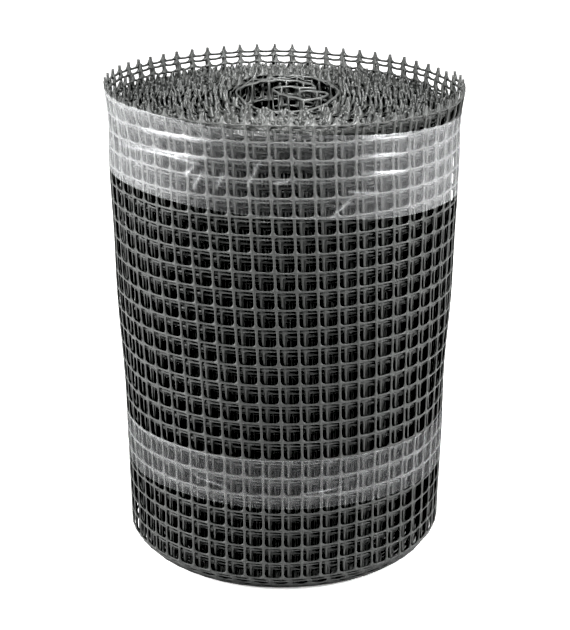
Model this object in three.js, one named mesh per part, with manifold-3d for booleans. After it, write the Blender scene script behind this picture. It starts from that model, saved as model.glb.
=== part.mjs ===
// A roll of extruded plastic garden mesh, standing on its end and held by two bands of clear film.
// Millimetres, +Z up. The origin is the centre of the base, where the inner turns stand.
import * as THREE from "three";
import { mergeVertices } from "three/addons/utils/BufferGeometryUtils.js";
import Module from "manifold-3d";

// The net: square cells between upright and level strands, extruded as one piece.
const CELL = 20; // pitch of the cells
const ROWS = 25; // cells across the width of the net, which is the height of the roll
const STRAND_THICKNESS = 2.4; // one layer of net, measured through the roll
const SPIKE = 8; // cut ends of the upright strands, above the last level strand

// The winding: each turn lies on the one inside it.
const TURNS = 26;
const BORE_RADIUS = 55;
const TURN_PITCH = 4.78; // from one turn to the next at the base, where the roll is tightest
const LOWER_SWELL = 3; // extra radius of the outer wall where the roll begins to widen
const SHOULDER_SWELL = 9.8; // extra radius from the shoulder up to the neck under the upper film
const RIM_SWELL = 13.3; // extra radius at the free rim above the film
const LOWER_SWELL_ROW = 10; // rows above the outermost turn's base
const SHOULDER_ROW = 5; // rows below the rim
const NECK_ROW = 1.5; // rows below the rim
const LIFTS = [16, 10.7, 4.3]; // how far the outermost turns have ridden up, from the outside inwards
const GROOVE_DEPTH = 7; // of the groove between two turns, at either end
const SEGMENTS = 32; // facets round the roll

// The two bands of stretch film.
const FILM_THICKNESS = 0.6; // several layers of film
const FILM_GAP = 0.3; // clearance between the film and the net
const UPPER_FILM = { height: 86, tilt: 4.4, belowRim: 56 }; // tilt in degrees, down to the right
const LOWER_FILM = { height: 56, tilt: 0.7, aboveBase: 112 };

// Values that follow from the driving ones.
const NET_WIDTH = CELL * ROWS;
const BASE_RADIUS = BORE_RADIUS + STRAND_THICKNESS + (TURNS - 1) * TURN_PITCH;
const RIM_RADIUS = BASE_RADIUS + RIM_SWELL;
const TOP_PITCH = (RIM_RADIUS - STRAND_THICKNESS - BORE_RADIUS) / (TURNS - 1);
const RIM_BASE = LIFTS[0]; // the outermost turn's lowest level strand
const RIM_TOP = RIM_BASE + NET_WIDTH; // the outermost turn's highest level strand

const NET_COLOUR = 0x6b6e6c;
const FILM_COLOUR = 0xdfe3e4;

const wasm = await Module();
wasm.setup();

// How far turn number i, counted from the outside, stands above the inner turns.
function liftOf(turn) {
  return turn < LIFTS.length ? LIFTS[turn] : 0;
}

// The outer wall as [radius, height] from the base up to the tips of the upright strands.
function wallPoints() {
  return [
    [BASE_RADIUS, RIM_BASE],
    [BASE_RADIUS + LOWER_SWELL, RIM_BASE + LOWER_SWELL_ROW * CELL],
    [BASE_RADIUS + SHOULDER_SWELL, RIM_TOP - SHOULDER_ROW * CELL],
    [BASE_RADIUS + SHOULDER_SWELL, RIM_TOP - NECK_ROW * CELL],
    [RIM_RADIUS, RIM_TOP],
    [RIM_RADIUS, RIM_TOP + SPIKE],
  ];
}

// The upper end from the outside inwards: every turn rises to a crest, with a groove inside it.
function topPoints() {
  const points = [];
  for (let turn = 0; turn < TURNS; turn++) {
    const crest = NET_WIDTH + SPIKE + liftOf(turn);
    const inner = NET_WIDTH + SPIKE + liftOf(turn + 1);
    const outerFace = RIM_RADIUS - turn * TOP_PITCH;
    points.push([outerFace - STRAND_THICKNESS, crest]);
    if (turn < TURNS - 1)
      points.push([outerFace - TOP_PITCH, Math.min(crest, inner) - GROOVE_DEPTH]);
  }
  return points;
}

// The lower end from the bore outwards: flat edges to stand on, with a groove outside each turn.
function basePoints() {
  const points = [];
  for (let turn = TURNS - 1; turn >= 0; turn--) {
    const edge = liftOf(turn);
    const outerFace = BASE_RADIUS - turn * TURN_PITCH;
    const grooveRadius = outerFace + (TURN_PITCH - STRAND_THICKNESS) / 2;
    points.push([outerFace - STRAND_THICKNESS, edge]);
    if (turn > 0) {
      points.push([outerFace, edge]);
      points.push([grooveRadius, Math.max(edge, liftOf(turn - 1)) + GROOVE_DEPTH]);
    }
  }
  return points;
}

// Turns a closed [radius, height] outline round the upright axis.
function turned(outline) {
  const points = [...outline, outline[0]].map(([r, z]) => new THREE.Vector2(r, z));
  return new THREE.LatheGeometry(points, SEGMENTS).rotateX(Math.PI / 2);
}

function rollGeometry() {
  return turned([...basePoints(), ...wallPoints(), ...topPoints()]);
}

// A sleeve of film that follows the outer wall, a small gap outside it.
function sleeveGeometry() {
  const inside = wallPoints().map(([r, z]) => [r + FILM_GAP, z]);
  const outside = inside.map(([r, z]) => [r + FILM_THICKNESS, z]).reverse();
  return turned([...outside, ...inside].reverse());
}

function solidOf(geometry) {
  const bare = geometry.clone();
  bare.deleteAttribute("normal");
  bare.deleteAttribute("uv");
  const merged = mergeVertices(bare, 1e-3);
  const vertProperties = new Float32Array(merged.attributes.position.array);
  const triVerts = new Uint32Array(merged.index.array);
  return new wasm.Manifold(new wasm.Mesh({ numProp: 3, vertProperties, triVerts }));
}

function geometryOf(solid) {
  const { vertProperties, triVerts } = solid.getMesh();
  const geometry = new THREE.BufferGeometry();
  geometry.setAttribute("position", new THREE.BufferAttribute(vertProperties, 3));
  geometry.setIndex(new THREE.BufferAttribute(triVerts, 1));
  return geometry;
}

// One band: the part of the sleeve inside a tilted slab.
function bandGeometry({ height, tilt }, middle) {
  const reach = 3 * RIM_RADIUS;
  const slab = new THREE.BoxGeometry(reach, reach, height);
  slab.rotateY(THREE.MathUtils.degToRad(tilt));
  slab.translate(0, 0, middle);
  return geometryOf(solidOf(sleeveGeometry()).intersect(solidOf(slab)));
}

function piece(name, geometry, material) {
  const mesh = new THREE.Mesh(geometry, material);
  mesh.name = name;
  return mesh;
}

const net = new THREE.MeshStandardMaterial({ color: NET_COLOUR, roughness: 0.55, metalness: 0 });
const film = new THREE.MeshStandardMaterial({
  color: FILM_COLOUR,
  roughness: 0.2,
  metalness: 0,
  transparent: true,
  opacity: 0.4,
});

const roll = new THREE.Group();
roll.add(
  piece("mesh_roll", rollGeometry(), net),
  piece("upper_wrap", bandGeometry(UPPER_FILM, RIM_TOP - UPPER_FILM.belowRim), film),
  piece("lower_wrap", bandGeometry(LOWER_FILM, RIM_BASE + LOWER_FILM.aboveBase), film),
);

export default roll;
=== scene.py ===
# %% [markdown]
# A roll of plastic garden mesh
#
# The real object is one long strip of square plastic net, wound up into about 26 turns and
# stood on its end. Two bands of clear stretch film hold it shut. What makes it hard to model is
# that everything is open. The eye looks through the holes of the first turn onto the second and
# third, and from above it sees every turn end on. So this lesson models a flat piece of net, as
# it leaves the extruder, and then winds it up.

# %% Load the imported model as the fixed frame
import math

import bpy
import numpy as np
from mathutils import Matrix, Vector


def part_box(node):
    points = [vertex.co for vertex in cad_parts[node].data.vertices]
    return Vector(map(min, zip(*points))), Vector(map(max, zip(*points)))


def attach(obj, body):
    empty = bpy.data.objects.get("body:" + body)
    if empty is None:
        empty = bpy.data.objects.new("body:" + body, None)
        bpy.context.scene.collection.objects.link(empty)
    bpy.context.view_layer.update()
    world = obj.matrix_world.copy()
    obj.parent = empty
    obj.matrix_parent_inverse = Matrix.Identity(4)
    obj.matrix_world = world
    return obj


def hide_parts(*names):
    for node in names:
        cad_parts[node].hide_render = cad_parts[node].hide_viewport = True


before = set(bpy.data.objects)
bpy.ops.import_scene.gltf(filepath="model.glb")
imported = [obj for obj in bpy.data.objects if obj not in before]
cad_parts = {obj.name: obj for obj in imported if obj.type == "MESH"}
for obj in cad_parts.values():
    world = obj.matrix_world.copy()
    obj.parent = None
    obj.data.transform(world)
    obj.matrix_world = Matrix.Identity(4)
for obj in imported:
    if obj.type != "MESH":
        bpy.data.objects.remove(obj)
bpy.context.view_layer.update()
_, roll_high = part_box("mesh_roll")

# %% [markdown]
# The camera comes first, because everything else is judged through it. The photograph looks down
# on the roll a little, from so far away that the rim shows as a narrow ellipse. The distance, the
# height and the tilt were worked out from the spacing of the level strands, which gets smaller
# towards the foot of the roll.

# %% Set up the camera
CAMERA_DISTANCE = 1.777
CAMERA_HEIGHT = 0.853
CAMERA_TILT = math.radians(18.62)
CAMERA_LENS = 96.2
CAMERA_SENSOR = 36

camera_data = bpy.data.cameras.new("camera")
camera_data.lens = CAMERA_LENS
camera_data.sensor_width = CAMERA_SENSOR
camera = bpy.data.objects.new("camera", camera_data)
bpy.context.scene.collection.objects.link(camera)
camera.location = (0, -CAMERA_DISTANCE, CAMERA_HEIGHT)
camera.rotation_euler = (math.pi / 2 - CAMERA_TILT, 0, 0)
bpy.context.scene.camera = camera

# %% [markdown]
# The sizes of the net and of the winding. The net is made of square cells of 20 mm, 25 of them
# across its width, which becomes the height of the roll. The upright strands are wider than the
# level ones, and their cut ends stand up above the top of the roll as blunt spikes.

# %% Name the sizes of the net
MM = 0.001
TINY = 0.01 * MM  # places closer together than this are one place
CELL = 20 * MM
ROWS = 25
NET_WIDTH = ROWS * CELL
UPRIGHT_WIDTH = 2.8 * MM
LEVEL_WIDTH = 2.1 * MM
EDGE_STRIP = 0.8 * MM  # the outer part of the strand along the cut edges
RIM_THICKNESS = 1.3 * MM  # of a strand at its edges
CROWN = 0.5 * MM  # how much further its middle stands out, on either side
STRAND_THICKNESS = RIM_THICKNESS + 2 * CROWN
SPIKE = 8 * MM

# %% Name the sizes of the winding
TURNS = 26
RIM_SWELL = 13.3 * MM  # how much wider the solid is at its rim than at its foot
BASE_RADIUS = roll_high.x - RIM_SWELL
BORE_RADIUS = 55 * MM

# Places in the winding are counted in turns from the outside inwards. The front is at every half
# and the back at every whole number. The outer end is just behind the right side.
OUTER_END = 0.2
CORE_INSET = (BASE_RADIUS - BORE_RADIUS - STRAND_THICKNESS) / MM

# How far inside the outer wall each turn lies, and how far it has ridden up, both in mm.
INSET_TURNS = [0.2, 0.25, 0.5, 1, 1.5, 2, 2.5, 3, 3.5, 4, TURNS]
INSETS = [-2, 0, 0.3, 0.8, 3.2, 4, 9, 10, 13, 14, CORE_INSET]
LIFT_TURNS = [0.2, 0.5, 1, 1.5, 2, 2.5, 3, 3.5, 4, 5]
LIFTS = [16, 16, 15.5, 11.5, 11.5, 5, 6, 0.5, 1, 0]

# How far the turns stand higher at the back than at the front, in mm at the top.
BACK_TURNS = [3, 4, 7, TURNS]
BACK_RISES = [0, -5, -2, 7]

# The roll is wider towards the top: extra radius in mm at so many rows above the net's base.
SWELL_ROWS = [0, 4, 7, 10, 13, 16, 18.5, 21, 23, 24, 25]
SWELLS = [-0.8, 0.2, 2.3, 4.4, 7, 9.2, 11, 11.8, 11.4, 13, 16]

# At the front, the level strands have crept up or down where the net was stretched, in mm.
CREEP_ROWS = [0, 2, 4, 7, 9, 12, 14.5, 18, 20, 22, 23, 24, 25]
CREEPS = [1.3, -2.1, -3.4, -1.6, -0.6, 2.6, 4.2, 2.7, 0, -1, -2.4, -4, -6.9]

# The upright strands lean over to the right towards the foot, in mm.
LEAN_ROWS = [0, 7, 25]
LEANS = [13, 13, 0]

# Where the upright strand nearest the middle stands at the top, in mm to the right of the axis,
# at places in the winding. At the back the strands of the outer turns stand in line.
STRAND_TURNS = [0.5, 1, 1.5, 2, 2.5, 3, 4]
STRAND_OFFSETS = [5.7, 9.4, -8.5, 7.9, -6.5, 10.6, -0.6]

# %% [markdown]
# The plan of the winding is a spiral, held as a table: the length of net that has been wound up,
# the turn that this reaches and its distance from the axis. Reading the table backwards turns a
# place along the flat net into a place on the roll. The net was pulled a little tighter at the
# front, so the cells there are wider than those at the back.

# %% Work out the spiral
TABLE_STEPS = 20000
SPARE = 0.1  # of a turn, which the table runs on past both ends
FRONT_STRETCH = 0.042
MEAN_SWELL = 6 * MM  # of the outer turns, over their whole height

turn_table = np.linspace(OUTER_END - SPARE, TURNS + SPARE, TABLE_STEPS)
inset_table = np.interp(turn_table, INSET_TURNS, INSETS) * MM
radius_table = BASE_RADIUS - STRAND_THICKNESS / 2 - inset_table
OUTER_RADIUS = radius_table.max()


def share_at(radius):
    """0 at the bore and 1 at the outer wall."""
    return np.clip((radius - BORE_RADIUS) / (OUTER_RADIUS - BORE_RADIUS), 0, 1)


tightness = 1 + FRONT_STRETCH * np.cos(math.tau * turn_table)
girth_table = math.tau * (radius_table + MEAN_SWELL * share_at(radius_table)) * tightness
length_steps = np.diff(turn_table) * girth_table[:-1]
length_table = np.concatenate([[0], np.cumsum(length_steps)])
length_table -= np.interp(OUTER_END, turn_table, length_table)
net_length = np.interp(TURNS, turn_table, length_table)
print(f"net wound up: {net_length:.2f} m, {net_length / CELL:.0f} columns of cells")

# %% [markdown]
# The strands of the real net stand where they happen to have come to rest. So the net slips a
# little along itself, by an amount that changes slowly, until its upright strands meet the
# places named above.

# %% Let the net slip along itself
knot_lengths = np.interp(STRAND_TURNS, turn_table, length_table)
knot_sides = np.where(np.array(STRAND_TURNS) % 1 == 0.5, -1, 1)
wanted = (knot_lengths + knot_sides * np.array(STRAND_OFFSETS) * MM) % CELL
knot_slips = np.unwrap(wanted, period=CELL)
knot_slips -= CELL * np.round(knot_slips[0] / CELL)
print("slips in mm:", [round(slip / MM, 1) for slip in knot_slips])


def slip_at(along):
    return np.interp(along, knot_lengths, knot_slips)


def column_at(turn):
    """The column of the net that lies at a place in the winding."""
    return int(round(np.interp(max(turn, OUTER_END), turn_table, length_table) / CELL))


# %% [markdown]
# Small helpers. A modifier is applied as soon as it has done its work, and vertices are read and
# written all at once as numpy arrays, because the net has hundreds of thousands of them.


# %% Helpers for meshes
def deselect_all():
    bpy.ops.object.select_all(action="DESELECT")


def make_active(thing):
    deselect_all()
    thing.select_set(True)
    bpy.context.view_layer.objects.active = thing


def apply_modifier(thing, kind, **settings):
    make_active(thing)
    modifier = thing.modifiers.new(kind.lower(), kind)
    for key, value in settings.items():
        setattr(modifier, key, value)
    bpy.ops.object.modifier_apply(modifier=modifier.name)


def repeat(thing, step, count):
    """Copies a piece along a straight line and merges the copies where they meet."""
    if count > 1:
        apply_modifier(
            thing,
            "ARRAY",
            use_relative_offset=False,
            use_constant_offset=True,
            constant_offset_displace=step,
            count=count,
            use_merge_vertices=True,
            merge_threshold=TINY,
        )


def joined(name, *things):
    """Several pieces as one mesh."""
    deselect_all()
    for thing in things:
        thing.select_set(True)
    bpy.context.view_layer.objects.active = things[0]
    bpy.ops.object.join()
    things[0].name = name
    return things[0]


def shade_smooth(thing):
    make_active(thing)
    bpy.ops.object.shade_smooth()


def read_points(thing):
    points = np.empty(len(thing.data.vertices) * 3)
    thing.data.vertices.foreach_get("co", points)
    return points.reshape(-1, 3)


def write_points(thing, points):
    thing.data.vertices.foreach_set("co", points.ravel())
    thing.data.update()


def triangles_of(thing):
    return sum(len(face.vertices) - 2 for face in thing.data.polygons)


# %% [markdown]
# One cell of the net. It could be built from four bars, but then every crossing would show as
# two bars pushed into each other. The real net is extruded as one web, so the cell is a square
# plane with a hole: the plane's edge is divided, an inset makes the ring of strands, and the
# middle face is deleted. The hole has rounded lower corners and nearly square upper ones, because
# the soft plastic sags while it is drawn.

# %% Model one cell
LOWER_CORNER = 4 * MM
UPPER_CORNER = 1 * MM


def round_hole(x, y, half_width, half_height):
    """Moves a point of a square hole onto the outline with rounded corners."""
    radius = LOWER_CORNER if y < 0 else UPPER_CORNER
    centre_x = np.clip(x, radius - half_width, half_width - radius)
    centre_y = np.clip(y, LOWER_CORNER - half_height, half_height - UPPER_CORNER)
    away = math.hypot(x - centre_x, y - centre_y)
    if away < radius:
        return x, y
    pull = radius / away
    return centre_x + (x - centre_x) * pull, centre_y + (y - centre_y) * pull


def net_cell(name, cuts):
    """A square of net with a hole in it, from the corner at the origin. More cuts, a rounder hole."""
    deselect_all()
    bpy.ops.mesh.primitive_plane_add(size=CELL, location=(CELL / 2, CELL / 2, 0))
    cell = bpy.context.object
    cell.name = name
    bpy.ops.object.transform_apply(location=True, rotation=False, scale=False)
    bpy.ops.object.mode_set(mode="EDIT")
    bpy.ops.mesh.select_all(action="SELECT")
    bpy.ops.mesh.subdivide(number_cuts=cuts)
    bpy.ops.mesh.dissolve_faces()
    bpy.ops.mesh.inset(thickness=UPRIGHT_WIDTH / 2)
    bpy.ops.mesh.delete(type="FACE")
    bpy.ops.object.mode_set(mode="OBJECT")

    half_width = (CELL - UPRIGHT_WIDTH) / 2
    half_height = (CELL - LEVEL_WIDTH) / 2
    middle = CELL / 2
    for vertex in cell.data.vertices:
        x, y = vertex.co.x - middle, vertex.co.y - middle
        if max(abs(x), abs(y)) < middle - TINY:
            y *= half_height / half_width
            x, y = round_hole(x, y, half_width, half_height)
            vertex.co.x, vertex.co.y = x + middle, y + middle
    return cell


# %% [markdown]
# A flat sheet of net is that cell repeated along and up. Solidify gives the strands their
# thickness, and moving every point that lies on the middle line of a strand outwards makes the
# strands thicker in the middle than at the edges, so that they catch the light like round ones.

# %% Repeat the cell into a sheet
CROSSING_CROWN = 1.2  # the crown where strands cross, as a share of an upright strand's
LEVEL_CROWN = 0.5  # the crown of a level strand, as a share of the same
ON_STRAND = 0.01 * CELL  # a point this close to a strand's middle line is on it


def strand_distance(place):
    """How far a place is from the middle line of the nearest strand."""
    return np.abs(place / CELL - np.round(place / CELL)) * CELL


def net_sheet(name, cuts, first_column, columns, low_row, high_row):
    """A flat sheet of net, x along the strip, y across it and z outwards."""
    sheet = net_cell(name, cuts)
    repeat(sheet, (CELL, 0, 0), columns)
    repeat(sheet, (0, CELL, 0), high_row - low_row)
    points = read_points(sheet)
    height = points[:, 1].max()
    if low_row == 0:
        points[points[:, 1] < TINY, 1] -= EDGE_STRIP
    if high_row == ROWS:
        points[points[:, 1] > height - TINY, 1] += EDGE_STRIP
    write_points(sheet, points)
    apply_modifier(sheet, "SOLIDIFY", thickness=RIM_THICKNESS, offset=0)

    points = read_points(sheet)
    upright = strand_distance(points[:, 0]) < ON_STRAND
    level = strand_distance(points[:, 1]) < ON_STRAND
    shares = np.select([upright & level, upright, level], [CROSSING_CROWN, 1, LEVEL_CROWN], 0)
    points[:, 2] += CROWN * shares * np.sign(points[:, 2])
    points[:, 0] += first_column * CELL
    points[:, 1] += low_row * CELL
    write_points(sheet, points)
    return sheet


# %% [markdown]
# The spikes are the ends of the upright strands where the net was slit from its neighbour. One is
# modelled from a cube, cut into slices. The lowest slices flare out in a curve, as the lower
# corners of a cell do, so that a spike grows out of its strand as the rest of the net does.

# %% Model the spikes
SPIKE_TIP_WIDTH = 2 * MM
SPIKE_FLARE = 5.5 * MM
SPIKE_SLICES = [0.6, 1.5, 3, 5.5]  # mm above the strand


def flare(rise):
    """How much further out each side of a spike stands, so far above its level strand."""
    drop = np.clip(SPIKE_FLARE - rise, 0, SPIKE_FLARE)
    return SPIKE_FLARE - np.sqrt(SPIKE_FLARE**2 - drop**2)


def spike_row(name, first_column, columns):
    """A row of spikes along the top edge of a sheet."""
    foot = EDGE_STRIP / 2
    tall = SPIKE - foot
    deselect_all()
    bpy.ops.mesh.primitive_cube_add(size=1, scale=(UPRIGHT_WIDTH, tall, STRAND_THICKNESS))
    spike = bpy.context.object
    spike.name = name
    bpy.ops.object.transform_apply(location=False, rotation=False, scale=True)
    bpy.ops.object.mode_set(mode="EDIT")
    for slice_height in SPIKE_SLICES:
        bpy.ops.mesh.select_all(action="SELECT")
        bpy.ops.mesh.bisect(plane_co=(0, slice_height * MM - tall / 2, 0), plane_no=(0, 1, 0))
    bpy.ops.object.mode_set(mode="OBJECT")
    points = read_points(spike)
    rise = points[:, 1] + tall / 2
    taper = np.interp(rise, [tall / 2, tall], [UPRIGHT_WIDTH, SPIKE_TIP_WIDTH]) / 2
    points[:, 0] = np.sign(points[:, 0]) * (taper + flare(rise))
    points += (first_column * CELL, NET_WIDTH + foot + tall / 2, 0)
    write_points(spike, points)
    repeat(spike, (CELL, 0, 0), columns)
    return spike


# %% [markdown]
# Deep inside the roll only a strip of each strand is ever seen, so the middle of the inner turns
# is made from plain bars: one long upright bar a column, and a short level bar a cell, with no
# faces on its ends.

# %% Model the plain bars
BAR_SIDES = 4
BAR_RADIUS = 0.6 * STRAND_THICKNESS
BAR_CUTS = 4  # across an upright bar, so that it can follow the swell of the roll


def open_bar(name, length, axis, cuts):
    """A bar with open ends, along x or y, divided by so many cuts."""
    deselect_all()
    turned = (0, math.pi / 2, 0) if axis == "X" else (math.pi / 2, 0, 0)
    bpy.ops.mesh.primitive_cylinder_add(
        vertices=BAR_SIDES, radius=BAR_RADIUS, depth=length, end_fill_type="NOTHING", rotation=turned
    )
    bar = bpy.context.object
    bar.name = name
    bpy.ops.object.transform_apply(location=False, rotation=True, scale=False)
    along = (1, 0, 0) if axis == "X" else (0, 1, 0)
    bpy.ops.object.mode_set(mode="EDIT")
    for cut in range(1, cuts + 1):
        place = length * (cut / (cuts + 1) - 0.5)
        bpy.ops.mesh.select_all(action="SELECT")
        bpy.ops.mesh.bisect(plane_co=[place * share for share in along], plane_no=along)
    bpy.ops.object.mode_set(mode="OBJECT")
    return bar


def plain_bars(name, first_column, columns, low_row, high_row):
    """A flat sheet of net made from plain bars, without the strands along its own edges."""
    height = (high_row - low_row) * CELL
    upright = open_bar(name + "_upright", height, "Y", BAR_CUTS)
    points = read_points(upright)
    points += (first_column * CELL, low_row * CELL + height / 2, 0)
    write_points(upright, points)
    repeat(upright, (CELL, 0, 0), columns)

    level = open_bar(name + "_level", CELL, "X", 0)
    points = read_points(level)
    points += ((first_column + 0.5) * CELL, (low_row + 1) * CELL, 0)
    write_points(level, points)
    repeat(level, (CELL, 0, 0), columns)
    repeat(level, (0, CELL, 0), high_row - low_row - 1)
    return joined(name, upright, level)


# %% [markdown]
# The roll is not perfect. Slow waves, which are fixed sums of sines, move each turn in and out
# and up and down a little. Near the top the inner turns are loose as well: every upright strand
# is shaken a little its own way, and the level strands hang down between them.

# %% Noise from a place on the flat net
WAVE_COUNT = 5
WAVE_PEAK = 3.2  # the sum of so many waves seldom goes past this


def waves(along, height, seed):
    """Slow, even noise between about -1 and 1."""
    total = np.zeros_like(along)
    draws = np.random.default_rng(seed)
    for _ in range(WAVE_COUNT):
        per_metre_along = draws.uniform(2, 9)
        per_metre_up = draws.uniform(1, 7)
        phase = draws.uniform(0, math.tau)
        total += np.sin(math.tau * (along * per_metre_along + height * per_metre_up) + phase)
    return total / WAVE_PEAK


def jitter(along, seed):
    """A random number between -1 and 1 for every column, even between columns."""
    column = along / CELL
    draws = np.random.default_rng(seed).uniform(-1, 1, int(column.max()) + 2)
    return np.interp(column, np.arange(len(draws)), draws)


def arch(along):
    """0 at the upright strands and 1 halfway between them."""
    return np.abs(np.sin(math.pi * along / CELL))


# %% [markdown]
# How far a place on the net has moved up from where it was on the flat net. Each turn has its own
# lift and each row its own creep. On the right the rim hangs lower, and the outer turns' foot is
# lifted off the floor.

# %% Work out the heights
RIGHT_DROP = 4.5 * MM  # of the rim on the right
RIGHT_LIFT = 4 * MM  # of the outer turns' foot there


def swell_at(height):
    return np.interp(height / CELL, SWELL_ROWS, SWELLS) * MM


def creep_at(height, angle):
    """Full at the front, nothing at the back."""
    return np.interp(height / CELL, CREEP_ROWS, CREEPS) * MM * (1 + np.cos(angle)) / 2


def lean_at(height):
    return np.interp(height / CELL, LEAN_ROWS, LEANS) * MM


def rise_at(turn, radius, height):
    """How far up a place has moved."""
    angle = math.pi - math.tau * turn
    row = height / CELL
    back = (1 - np.cos(angle)) / 2
    right = np.clip(np.sin(angle), 0, 1)
    rise = EDGE_STRIP + np.interp(turn, LIFT_TURNS, LIFTS) * MM + creep_at(height, angle)
    rise += np.interp(turn, BACK_TURNS, BACK_RISES) * MM * back * (height / NET_WIDTH) ** 2
    rise -= RIGHT_DROP * right * radius / OUTER_RADIUS * np.interp(row, [19, 25], [0, 1])
    rise += RIGHT_LIFT * right * np.interp(turn, [2, 4], [1, 0]) * np.interp(row, [0, 5], [1, 0])
    return rise


# %% [markdown]
# Winding the net up. Every point of a flat sheet has a place along the strip, a height and a
# distance from the sheet's middle. The spiral table turns the first into an angle and a radius,
# and the waves and the rise of its place are added. The bore is a little longer from front to
# back than from side to side, and it lies towards the back.

# %% Wind a flat sheet onto the roll
LEAN_LEFT = 1 * MM
BORE_SHIFT = 12 * MM
BORE_STRETCH = 0.12
WALL_WAVE = 0.8 * MM  # in and out
CORE_WAVE = 2.8 * MM  # up and down, all of it at the bore
ROW_WAVE = 0.4 * MM  # up and down, everywhere
SHAKE_ALONG = 0.9 * MM  # of a loose upright strand, as the next two are
SHAKE_OUT = 0.9 * MM
SHAKE_UP = 1.6 * MM
LEVEL_SAG = 2.8 * MM  # of a loose level strand


def roll_points(turn, radius, along, height, out):
    """Places on the roll, from places in the winding and on the flat net."""
    row = height / CELL
    share = share_at(radius)
    core = 1 - share
    loose = np.interp(turn, [1, 4], [0.2, 1]) * np.interp(row, [21, 24.5], [0, 1])
    angle = math.pi - math.tau * turn + SHAKE_ALONG * loose * jitter(along, 21) / radius
    away = radius + swell_at(height) * share + out
    away += WALL_WAVE * waves(along, height, 1) + SHAKE_OUT * loose * jitter(along, 22)
    x = away * np.sin(angle) - LEAN_LEFT
    y = -away * np.cos(angle) * (1 + BORE_STRETCH * core) + BORE_SHIFT * core
    standing = np.clip(row, 0, 1)  # the lowest strands keep to the floor
    z = height + rise_at(turn, radius, height)
    z += standing * CORE_WAVE * waves(along, np.zeros_like(height), 2) * core
    z += standing * ROW_WAVE * waves(along, height, 3)
    z += loose * (SHAKE_UP * jitter(along, 23) - LEVEL_SAG * arch(along))
    return np.stack([x, y, z], axis=1)


SPIKE_BEND = 1.3 * MM
LEAST_BEND = 0.35  # the bend on the outermost turn, as a share of that on the inner ones


def bend_spikes(points):
    """Bends each spike of a flat sheet its own way."""
    along, height, _ = points.T
    column = np.round(along / CELL).astype(int)
    draws = np.random.default_rng(5).normal(size=(column.max() + 1, 2))
    rise = np.clip((height - NET_WIDTH) / SPIKE, 0, 1) ** 1.5
    loose = np.clip(column / column_at(3), LEAST_BEND, 1)
    points[:, 0] += SPIKE_BEND * draws[column, 0] * rise * loose
    points[:, 2] += SPIKE_BEND * draws[column, 1] * rise * loose


def wind(sheet):
    """Winds a flat sheet onto the roll."""
    points = read_points(sheet)
    bend_spikes(points)
    along, height, out = points.T
    place = along + slip_at(along) - lean_at(height)
    turn = np.interp(place, length_table, turn_table)
    radius = np.interp(place, length_table, radius_table)
    write_points(sheet, roll_points(turn, radius, along, height, out))
    shade_smooth(sheet)
    return sheet


# %% [markdown]
# The first three turns are seen best, so each is a piece of its own, the first two with the finest
# cells. The first is seen whole, the second through the holes of the first, and the third through
# both.

# %% Wind the outer turns
OUTER_TURNS = ["first_turn", "second_turn", "third_turn"]
HOLE_CUTS = [3, 3, 1]
net_pieces = []
for number, (name, cuts) in enumerate(zip(OUTER_TURNS, HOLE_CUTS)):
    first = column_at(number)
    columns = column_at(number + 1) - first
    sheet = net_sheet(name, cuts, first, columns, 0, ROWS)
    spikes = spike_row(name + "_spikes", first, columns)
    piece = wind(joined(name, sheet, spikes))
    net_pieces.append(piece)
    print(name, columns, "columns,", triangles_of(piece), "triangles")

# %% [markdown]
# The inner turns show their upper edge, their lower edge and, through the bore, the inside of the
# last turn. Their upper two rows and lowest row are real cells, and the rows between are bars.
# The innermost turn has no spikes, which would fill the small bore.

# %% Wind the inner turns
INNER_TOP_ROWS = 2
BARE_TURNS = 1.2  # at the bore, without spikes
first = column_at(len(OUTER_TURNS))
columns = column_at(TURNS) - first
top_edge = joined(
    "inner_turns_upper_edge",
    net_sheet("inner_cells", 1, first, columns, ROWS - INNER_TOP_ROWS, ROWS),
    spike_row("inner_spikes", first, column_at(TURNS - BARE_TURNS) - first),
)
lower_edge = net_sheet("inner_turns_lower_edge", 1, first, columns, 0, 1)
middle = plain_bars("inner_turns_middle", first, columns, 1, ROWS - INNER_TOP_ROWS)
for piece in (top_edge, lower_edge, middle):
    net_pieces.append(wind(piece))
    print(piece.name, columns, "columns,", triangles_of(piece), "triangles")

# %% [markdown]
# The inner end of the net is loose. It runs once round the bore a little inside the wall, turns
# over at the back and curls into a loop that stands in the bore. It is the same flat sheet, laid
# along a smooth curve through a few places seen from above, instead of along the spiral.

# %% Draw the curve of the loose end
LOOSE_END_PLACES = [
    (0, 75), (24, 71), (44, 58), (55, 38), (58, 15), (53, -12), (38, -32), (14, -43), (-14, -43),
    (-37, -31), (-50, -8), (-52, 20), (-45, 42), (-27, 57), (-4, 62), (18, 57), (32, 46), (30, 37),
    (14, 41), (-4, 43), (-13, 35), (-11, 20), (-3, 2), (8, -12), (20, -20), (32, -18), (42, -10),
    (46, 3), (41, 15), (29, 21), (15, 20), (6, 14),
]  # mm to the right of the axis and behind it
CURVE_STEPS = 40  # between one place and the next


def smooth_curve(places):
    """A dense curve through some places, bent evenly between them (Catmull-Rom)."""
    given = np.array(places, dtype=float)
    knots = np.vstack([2 * given[0] - given[1], given, 2 * given[-1] - given[-2]])
    parts = []
    for before, start, stop, after in zip(knots, knots[1:], knots[2:], knots[3:]):
        t = np.linspace(0, 1, CURVE_STEPS, endpoint=False)[:, None]
        slope, next_slope = (stop - before) / 2, (after - start) / 2
        rest = stop - start
        parts.append(start + slope * t + (3 * rest - 2 * slope - next_slope) * t**2
                     + (slope + next_slope - 2 * rest) * t**3)
    return np.vstack(parts)


loose_curve = smooth_curve(LOOSE_END_PLACES) * MM

# %% [markdown]
# The top of the loose end isn't level. It has sunk at the front of the bore and stands higher at
# the back, as the turns round it do. Its level strands arch up a little between the uprights, and
# the strand along its cut edge is thicker, because it is seen from close above.

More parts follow.
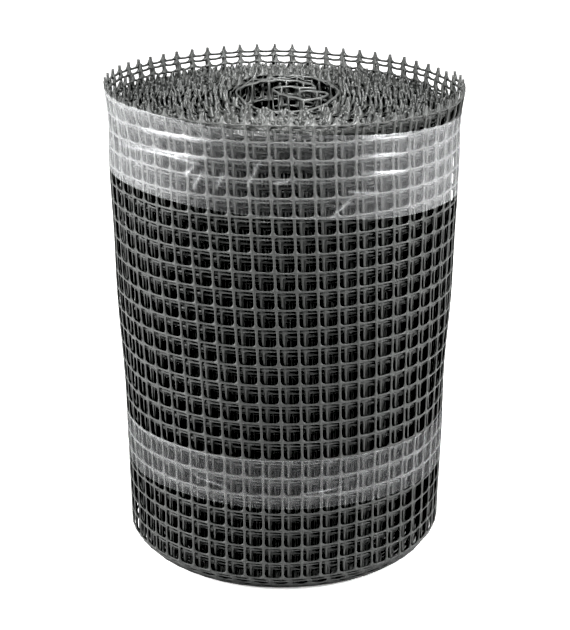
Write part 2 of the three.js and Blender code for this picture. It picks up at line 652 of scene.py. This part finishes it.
# %% Lay the loose end along the curve
FRONT_SINK = 9 * MM
FRONT_PLACES = [-42, -15]  # mm behind the axis, from where it is deepest to where it ends
BACK_PLACES = [40, 75]  # mm behind the axis, from where the rise begins to where it is full
CUT_EDGE = 1.2 * MM  # extra height of the strand along the cut edge
LOOSE_ARCH = 0.5 * MM
LOOSE_WAVE = 0.8 * MM


def lay_along(sheet, curve, first_column):
    """Lays a flat sheet along a curve in plan."""
    steps = np.diff(curve, axis=0, append=curve[-1:] * 2 - curve[-2:-1])
    lengths = np.concatenate([[0], np.cumsum(np.hypot(*steps.T))[:-1]])
    headings = np.unwrap(np.arctan2(steps[:, 1], steps[:, 0]))
    along, height, out = read_points(sheet).T
    place = along - first_column * CELL
    heading = np.interp(place, lengths, headings)
    out = out + LOOSE_WAVE * waves(along * 2, height, 7)
    x = np.interp(place, lengths, curve[:, 0]) + out * np.sin(heading)
    y = np.interp(place, lengths, curve[:, 1]) - out * np.cos(heading)
    up = height / NET_WIDTH
    z = height + EDGE_STRIP
    z += LOOSE_ARCH * arch(along) * up**4
    z += CUT_EDGE * np.clip((height - NET_WIDTH) / EDGE_STRIP, 0, 1)
    z -= FRONT_SINK * np.interp(y / MM, FRONT_PLACES, [1, 0]) * up**2
    z += BACK_RISES[-1] * MM * np.interp(y / MM, BACK_PLACES, [0, 1]) * up**2
    write_points(sheet, np.stack([x, y, z], axis=1))
    shade_smooth(sheet)


first = column_at(TURNS)
columns = int(np.hypot(*np.diff(loose_curve, axis=0).T).sum() / CELL)
loose_end = net_sheet("loose_inner_end", 1, first, columns, 0, ROWS)
lay_along(loose_end, loose_curve, first)
net_pieces.append(loose_end)
print("loose end:", columns, "columns,", triangles_of(loose_end), "triangles")

# %% [markdown]
# The two bands are stretch film, wound round the roll a few times. The film is so thin that the
# level strands under it show as ridges, and a few creases stand out where it was pulled. So a band
# is a fine grid, closed round the roll, that takes its shape from the same winding as the first
# turn, and lies outside all the strands. Its edges run level, or slope, whatever the net does.

# %% Name the sizes of the film
FILM_COLUMNS = 640  # of the grid, round the roll
FILM_GAP = 0.25 * MM
FILM_THICKNESS = 0.12 * MM
FILM_WAVE = 0.25 * MM
EDGE_WAVE = 1.5 * MM  # how far the band's edges run up and down
LEVEL_RIDGE = 0.5 * MM
RIDGE_WIDTH = 2 * MM
CREASE_HEIGHT = 0.8 * MM
EDGE_WIDTH = 1.2 * MM
EDGE_MARK = 0.1  # how strongly an edge shows, where a crease shows fully
RIDGE_MARK = 0.12
SEAM_SHARE = 0.06  # of a turn, over which the film steps down from the net's outer end
HEIGHT_ROUNDS = 3


def hump(distance, width):
    """1 on a line, fading to nothing beside it."""
    return np.exp(-((distance / width) ** 2))


def crease_at(x, z, crease):
    """1 along the middle of a straight crease on the front, fading beside it and to its ends."""
    x1, z1, x2, z2, width = (value * MM for value in crease)
    run, rise = x2 - x1, z2 - z1
    length = math.hypot(run, rise)
    share = np.clip(((x - x1) * run + (z - z1) * rise) / length**2, 0, 1)
    distance = np.hypot(x - x1 - share * run, z - z1 - share * rise)
    return hump(distance, width) * np.sin(math.pi * (0.15 + 0.7 * share))


# %% [markdown]
# A point of the film knows how high it stands on the roll, but the winding asks how high it is on
# the flat net. The rise depends on that height too, so it is found in a few rounds, each nearer
# than the last. The ridges, edges and creases are also kept as an attribute, for the material.

# %% Model a band of film
def film_band(name, middle, height, slope, rows, creases):
    """A closed band of film. Its middle slopes by so much for each metre to the right."""
    deselect_all()
    bpy.ops.mesh.primitive_grid_add(x_subdivisions=FILM_COLUMNS, y_subdivisions=rows, size=1)
    band = bpy.context.object
    band.name = name
    share, up, _ = read_points(band).T
    share = share + 0.5
    turn = OUTER_END + share
    angle = math.pi - math.tau * turn
    place = np.interp(turn, turn_table, length_table)
    radius = np.interp(turn, turn_table, radius_table)
    x = radius * np.sin(angle)
    z = middle + slope * x + up * (height + EDGE_WAVE * waves(place, up, 11))
    net_height = z
    for _ in range(HEIGHT_ROUNDS):
        net_height = z - rise_at(turn, radius, net_height)
    along = place - slip_at(place) + lean_at(net_height)

    ridge = hump(strand_distance(net_height), RIDGE_WIDTH)
    front = np.cos(angle) > 0
    crease = np.max([crease_at(x, z, line) for line in creases], axis=0) * front
    out = STRAND_THICKNESS / 2 + FILM_GAP + LEVEL_RIDGE * ridge + CREASE_HEIGHT * crease
    out += FILM_WAVE * waves(along * 3, net_height * 4, 12)
    points = roll_points(turn, radius, along, net_height, out)

    # The last columns are eased onto the first, because the net's outer end is a step.
    grid = points.reshape(rows + 1, FILM_COLUMNS + 1, 3)
    ease = np.clip((share - 1) / SEAM_SHARE + 1, 0, 1).reshape(rows + 1, FILM_COLUMNS + 1, 1)
    grid += ease * (grid[:, :1] - grid[:, -1:])
    write_points(band, grid.reshape(-1, 3))

    edge = hump((0.5 - np.abs(up)) * height, EDGE_WIDTH)
    marks = band.data.attributes.new("film_marks", "FLOAT", "POINT")
    shown = np.clip(crease + EDGE_MARK * edge + RIDGE_MARK * ridge, 0, 1)
    marks.data.foreach_set("value", shown)
    make_active(band)
    bpy.ops.object.mode_set(mode="EDIT")
    bpy.ops.mesh.select_all(action="SELECT")
    bpy.ops.mesh.remove_doubles(threshold=TINY)
    bpy.ops.object.mode_set(mode="OBJECT")
    apply_modifier(band, "SOLIDIFY", thickness=FILM_THICKNESS, offset=1)
    shade_smooth(band)
    print(name, triangles_of(band), "triangles")
    return band


# %% [markdown]
# The upper band is the wider one. It slopes down to the right, reaches the rim on the left, and
# has a few creases where it was pulled. Each crease is given by its two ends, in mm to the right
# of the axis and above the floor, and by its width.

# %% Make both bands
UPPER_CREASES = [
    (-133, 492, -67, 493, 1.9), (-156, 469, -71, 475, 1.9), (-118, 472, -78, 468, 1.2),
    (70, 496, 114, 491, 2.6), (70, 477, 108, 473, 1.7), (72, 459, 112, 454, 1.7),
    (-82, 465, -90, 454, 1.0), (-74, 461, -83, 442, 1.0), (-55, 461, -61, 445, 1.0),
    (-22, 474, -33, 449, 0.9), (5, 455, -9, 452, 0.9), (59, 442, 85, 437, 1.1),
    (44, 418, 61, 434, 1.2),
]
LOWER_CREASES = [(20, 118, 60, 122, 0.8), (-90, 126, -60, 121, 0.8)]
upper_band = film_band(
    "upper_film", middle=460 * MM, height=86 * MM, slope=-0.077, rows=64, creases=UPPER_CREASES
)
lower_band = film_band(
    "lower_film", middle=128 * MM, height=56 * MM, slope=-0.012, rows=42, creases=LOWER_CREASES
)

# %% [markdown]
# Shader maths reads best as ordinary arithmetic. This class wraps the output socket of a node, so
# that a * b + c on such values adds the Math nodes by itself. Colours and vectors don't go through
# it, because a Math node keeps only one number.


# %% Shader maths as expressions
class Value:
    """The output of a node, as a number that can be reckoned with."""

    def __init__(self, material, socket):
        self.material = material
        self.socket = socket

    def _math(self, operation, first, second):
        return self.material.node("ShaderNodeMath", {"operation": operation}, {0: first, 1: second})

    def __add__(self, other):
        return self._math("ADD", self, other)

    def __radd__(self, other):
        return self._math("ADD", other, self)

    def __rsub__(self, other):
        return self._math("SUBTRACT", other, self)

    def __mul__(self, other):
        return self._math("MULTIPLY", self, other)

    def __rmul__(self, other):
        return self._math("MULTIPLY", other, self)


# %% Materials that add their own nodes
class Material:
    """A node material with one Principled shader, and a method that adds any other node."""

    def __init__(self, name):
        self.data = bpy.data.materials.new(name)
        self.data.use_nodes = True
        self.tree = self.data.node_tree
        self.tree.nodes.clear()
        self.surface = self.tree.nodes.new("ShaderNodeBsdfPrincipled")
        output = self.tree.nodes.new("ShaderNodeOutputMaterial")
        self.tree.links.new(self.surface.outputs[0], output.inputs["Surface"])

    def fill(self, target, inputs):
        for key, value in inputs.items():
            if isinstance(value, Value):
                self.tree.links.new(value.socket, target.inputs[key])
            else:
                target.inputs[key].default_value = value

    def node(self, kind, settings, inputs, output=0):
        """Adds a node: its settings first, then the values or links of its sockets."""
        made = self.tree.nodes.new(kind)
        for key, value in settings.items():
            setattr(made, key, value)
        self.fill(made, inputs)
        return Value(self, made.outputs[output])

    def shade(self, **inputs):
        """Fills sockets of the Principled shader, such as Base_Color."""
        self.fill(self.surface, {key.replace("_", " "): value for key, value in inputs.items()})

    def place(self, scale=(1, 1, 1)):
        """The place on the object, in metres times the scale."""
        place = self.node("ShaderNodeTexCoord", {}, {}, "Object")
        return self.node("ShaderNodeMapping", {}, {"Vector": place, "Scale": scale})

    def noise(self, vector, size, detail=2):
        """Cloudy noise from 0 to 1 with patches of about that size in metres."""
        inputs = {"Vector": vector, "Scale": 1 / size, "Detail": detail}
        return self.node("ShaderNodeTexNoise", {}, inputs, "Fac")

    def mix(self, factor, first, second):
        """A colour between two colours, which are sockets 6 and 7 of a Mix node. Its result is 2."""
        inputs = {"Factor": factor, 6: first, 7: second}
        return self.node("ShaderNodeMix", {"data_type": "RGBA"}, inputs, 2)

    def bumps(self, height, strength, distance):
        """Normals for a surface that stands up by a height from 0 to 1 times the distance."""
        inputs = {"Strength": strength, "Distance": distance, "Height": height}
        return self.node("ShaderNodeBump", {}, inputs, "Normal")


# %% [markdown]
# The net is grey polyethylene, a dull plastic with a soft sheen. Its strands were drawn through a
# die, which leaves fine lines along them, and the colour drifts a little from place to place.

# %% The net's plastic
DARK_GREY = (0.04, 0.041, 0.04, 1)
LIGHT_GREY = (0.075, 0.077, 0.075, 1)
UPRIGHT_LINES = (1, 1, 0.08)  # noise drawn out along z


def net_plastic():
    plastic = Material("grey net plastic")
    place = plastic.place()
    drift = plastic.noise(place, 60 * MM)
    speckle = plastic.noise(place, 1.5 * MM, detail=3)
    colour = plastic.mix(0.7 * drift + 0.3 * speckle, DARK_GREY, LIGHT_GREY)
    die_lines = plastic.noise(plastic.place(UPRIGHT_LINES), 0.5 * MM)
    relief = plastic.bumps(0.6 * die_lines + 0.4 * speckle, strength=0.25, distance=0.2 * MM)
    plastic.shade(Base_Color=colour, Roughness=0.38 + 0.2 * speckle, Normal=relief, IOR=1.5)
    return plastic.data


net_material = net_plastic()
for piece in net_pieces:
    piece.data.materials.append(net_material)
    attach(piece, "root")
    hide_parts("mesh_roll")

# %% [markdown]
# The film is clear but not invisible. It lifts the black of the cells to a milky grey, most of all
# at the sides, where the eye looks through it at a slant. So its alpha grows with the slant, fast
# at first and then more slowly, and it drifts in soft clouds. Along creases, ridges and edges the
# film is smoother and shines like metal, which gives the white glints.

# %% The film's plastic
FILM_WHITE = (0.85, 0.86, 0.87, 1)
SLANT_BEND = 1.6
MARK_MILK = 0.12  # how much alpha a full mark adds


def film_plastic(name, haze, side):
    """Film with so much alpha seen straight on, and so much more at its sides."""
    plastic = Material(name)
    clouds = plastic.noise(plastic.place(), 18 * MM, detail=3)
    marks = plastic.node("ShaderNodeAttribute", {"attribute_name": "film_marks"}, {}, "Fac")
    slant = plastic.node("ShaderNodeLayerWeight", {}, {"Blend": 0.5}, "Facing")
    milk = (haze + side * slant * (SLANT_BEND - slant)) * (0.7 + 0.6 * clouds) + MARK_MILK * marks
    relief = plastic.bumps(clouds, strength=0.1, distance=1 * MM)
    plastic.shade(Base_Color=FILM_WHITE, Roughness=0.5 - 0.35 * marks, Metallic=0.85 * marks)
    plastic.shade(Alpha=milk, Normal=relief)
    return plastic.data


FILMS = [(upper_band, "upper_wrap", 0.001, 0.125), (lower_band, "lower_wrap", 0.021, 0.028)]
for band, node, haze, side in FILMS:
    band.data.materials.append(film_plastic(band.name + "_plastic", haze, side))
    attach(band, "root")
    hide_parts(node)

# %% [markdown]
# The room: a white floor that runs to the horizon, two soft boxes beside the roll and a soft
# light above it. The boxes' reflections draw the bright streaks on the film. The soft light
# doesn't reach far down between the turns, so a narrow spot light is aimed into the bore.

# %% Lights
ROLL_MIDDLE = (0, 0, 0.4)
BORE_MOUTH = (0, -0.03, 0.48)


def aimed_light(name, kind, place, aim, power):
    """The settings of a new light that shines from a place towards another."""
    data = bpy.data.lights.new(name, kind)
    data.energy = power
    light = bpy.data.objects.new(name, data)
    bpy.context.scene.collection.objects.link(light)
    light.location = place
    light.rotation_euler = (Vector(place) - Vector(aim)).to_track_quat("Z", "Y").to_euler()
    return data


def soft_box(name, place, size, power):
    box = aimed_light(name, "AREA", place, ROLL_MIDDLE, power)
    box.shape = "RECTANGLE"
    box.size, box.size_y = size


soft_box("left soft box", place=(-1.75, -0.35, 0.9), size=(1.3, 1.0), power=65)
soft_box("right soft box", place=(1.6, -0.5, 1.1), size=(0.8, 1.0), power=52)
soft_box("top light", place=(0, -0.4, 1.9), size=(0.6, 0.6), power=38)

bore_light = aimed_light("bore light", "SPOT", (0, -1.5, 1.9), BORE_MOUTH, 1250)
bore_light.spot_size = math.radians(7)
bore_light.spot_blend = 0.9
bore_light.shadow_soft_size = 0.15

# %% Floor and world
FLOOR_SIZE = 60
FLOOR_WHITE = (0.95, 0.95, 0.95, 1)
FLOOR_GLOW = 0.4
WORLD_STRENGTH = 0.75
PURE_WHITE = (1, 1, 1, 1)

deselect_all()
bpy.ops.mesh.primitive_plane_add(size=FLOOR_SIZE, location=(0, 0, 0))
floor = bpy.context.object
floor.name = "floor"
floor_paint = Material("white floor")
floor_paint.shade(Base_Color=FLOOR_WHITE, Roughness=0.6)
floor_paint.shade(Emission_Color=PURE_WHITE, Emission_Strength=FLOOR_GLOW)
floor.data.materials.append(floor_paint.data)

world = bpy.data.worlds.new("white room")
world.use_nodes = True
background = world.node_tree.nodes["Background"]
background.inputs["Color"].default_value = PURE_WHITE
background.inputs["Strength"].default_value = WORLD_STRENGTH
bpy.context.scene.world = world

# %% [markdown]
# The photograph is printed hard: what lies deep in the roll is plain black. The light can't do
# that alone in a white room, so the view takes a little off the darkest tones, as a photographer
# does when developing the picture. White stays white.

# %% Develop the picture
BLACK_LEVEL = 0.045
DISPLAY_GAMMA = 0.7
view = bpy.context.scene.view_settings
view.view_transform = "Standard"
view.use_curve_mapping = True
view.curve_mapping.black_level = (BLACK_LEVEL, BLACK_LEVEL, BLACK_LEVEL)
view.curve_mapping.update()
view.gamma = DISPLAY_GAMMA
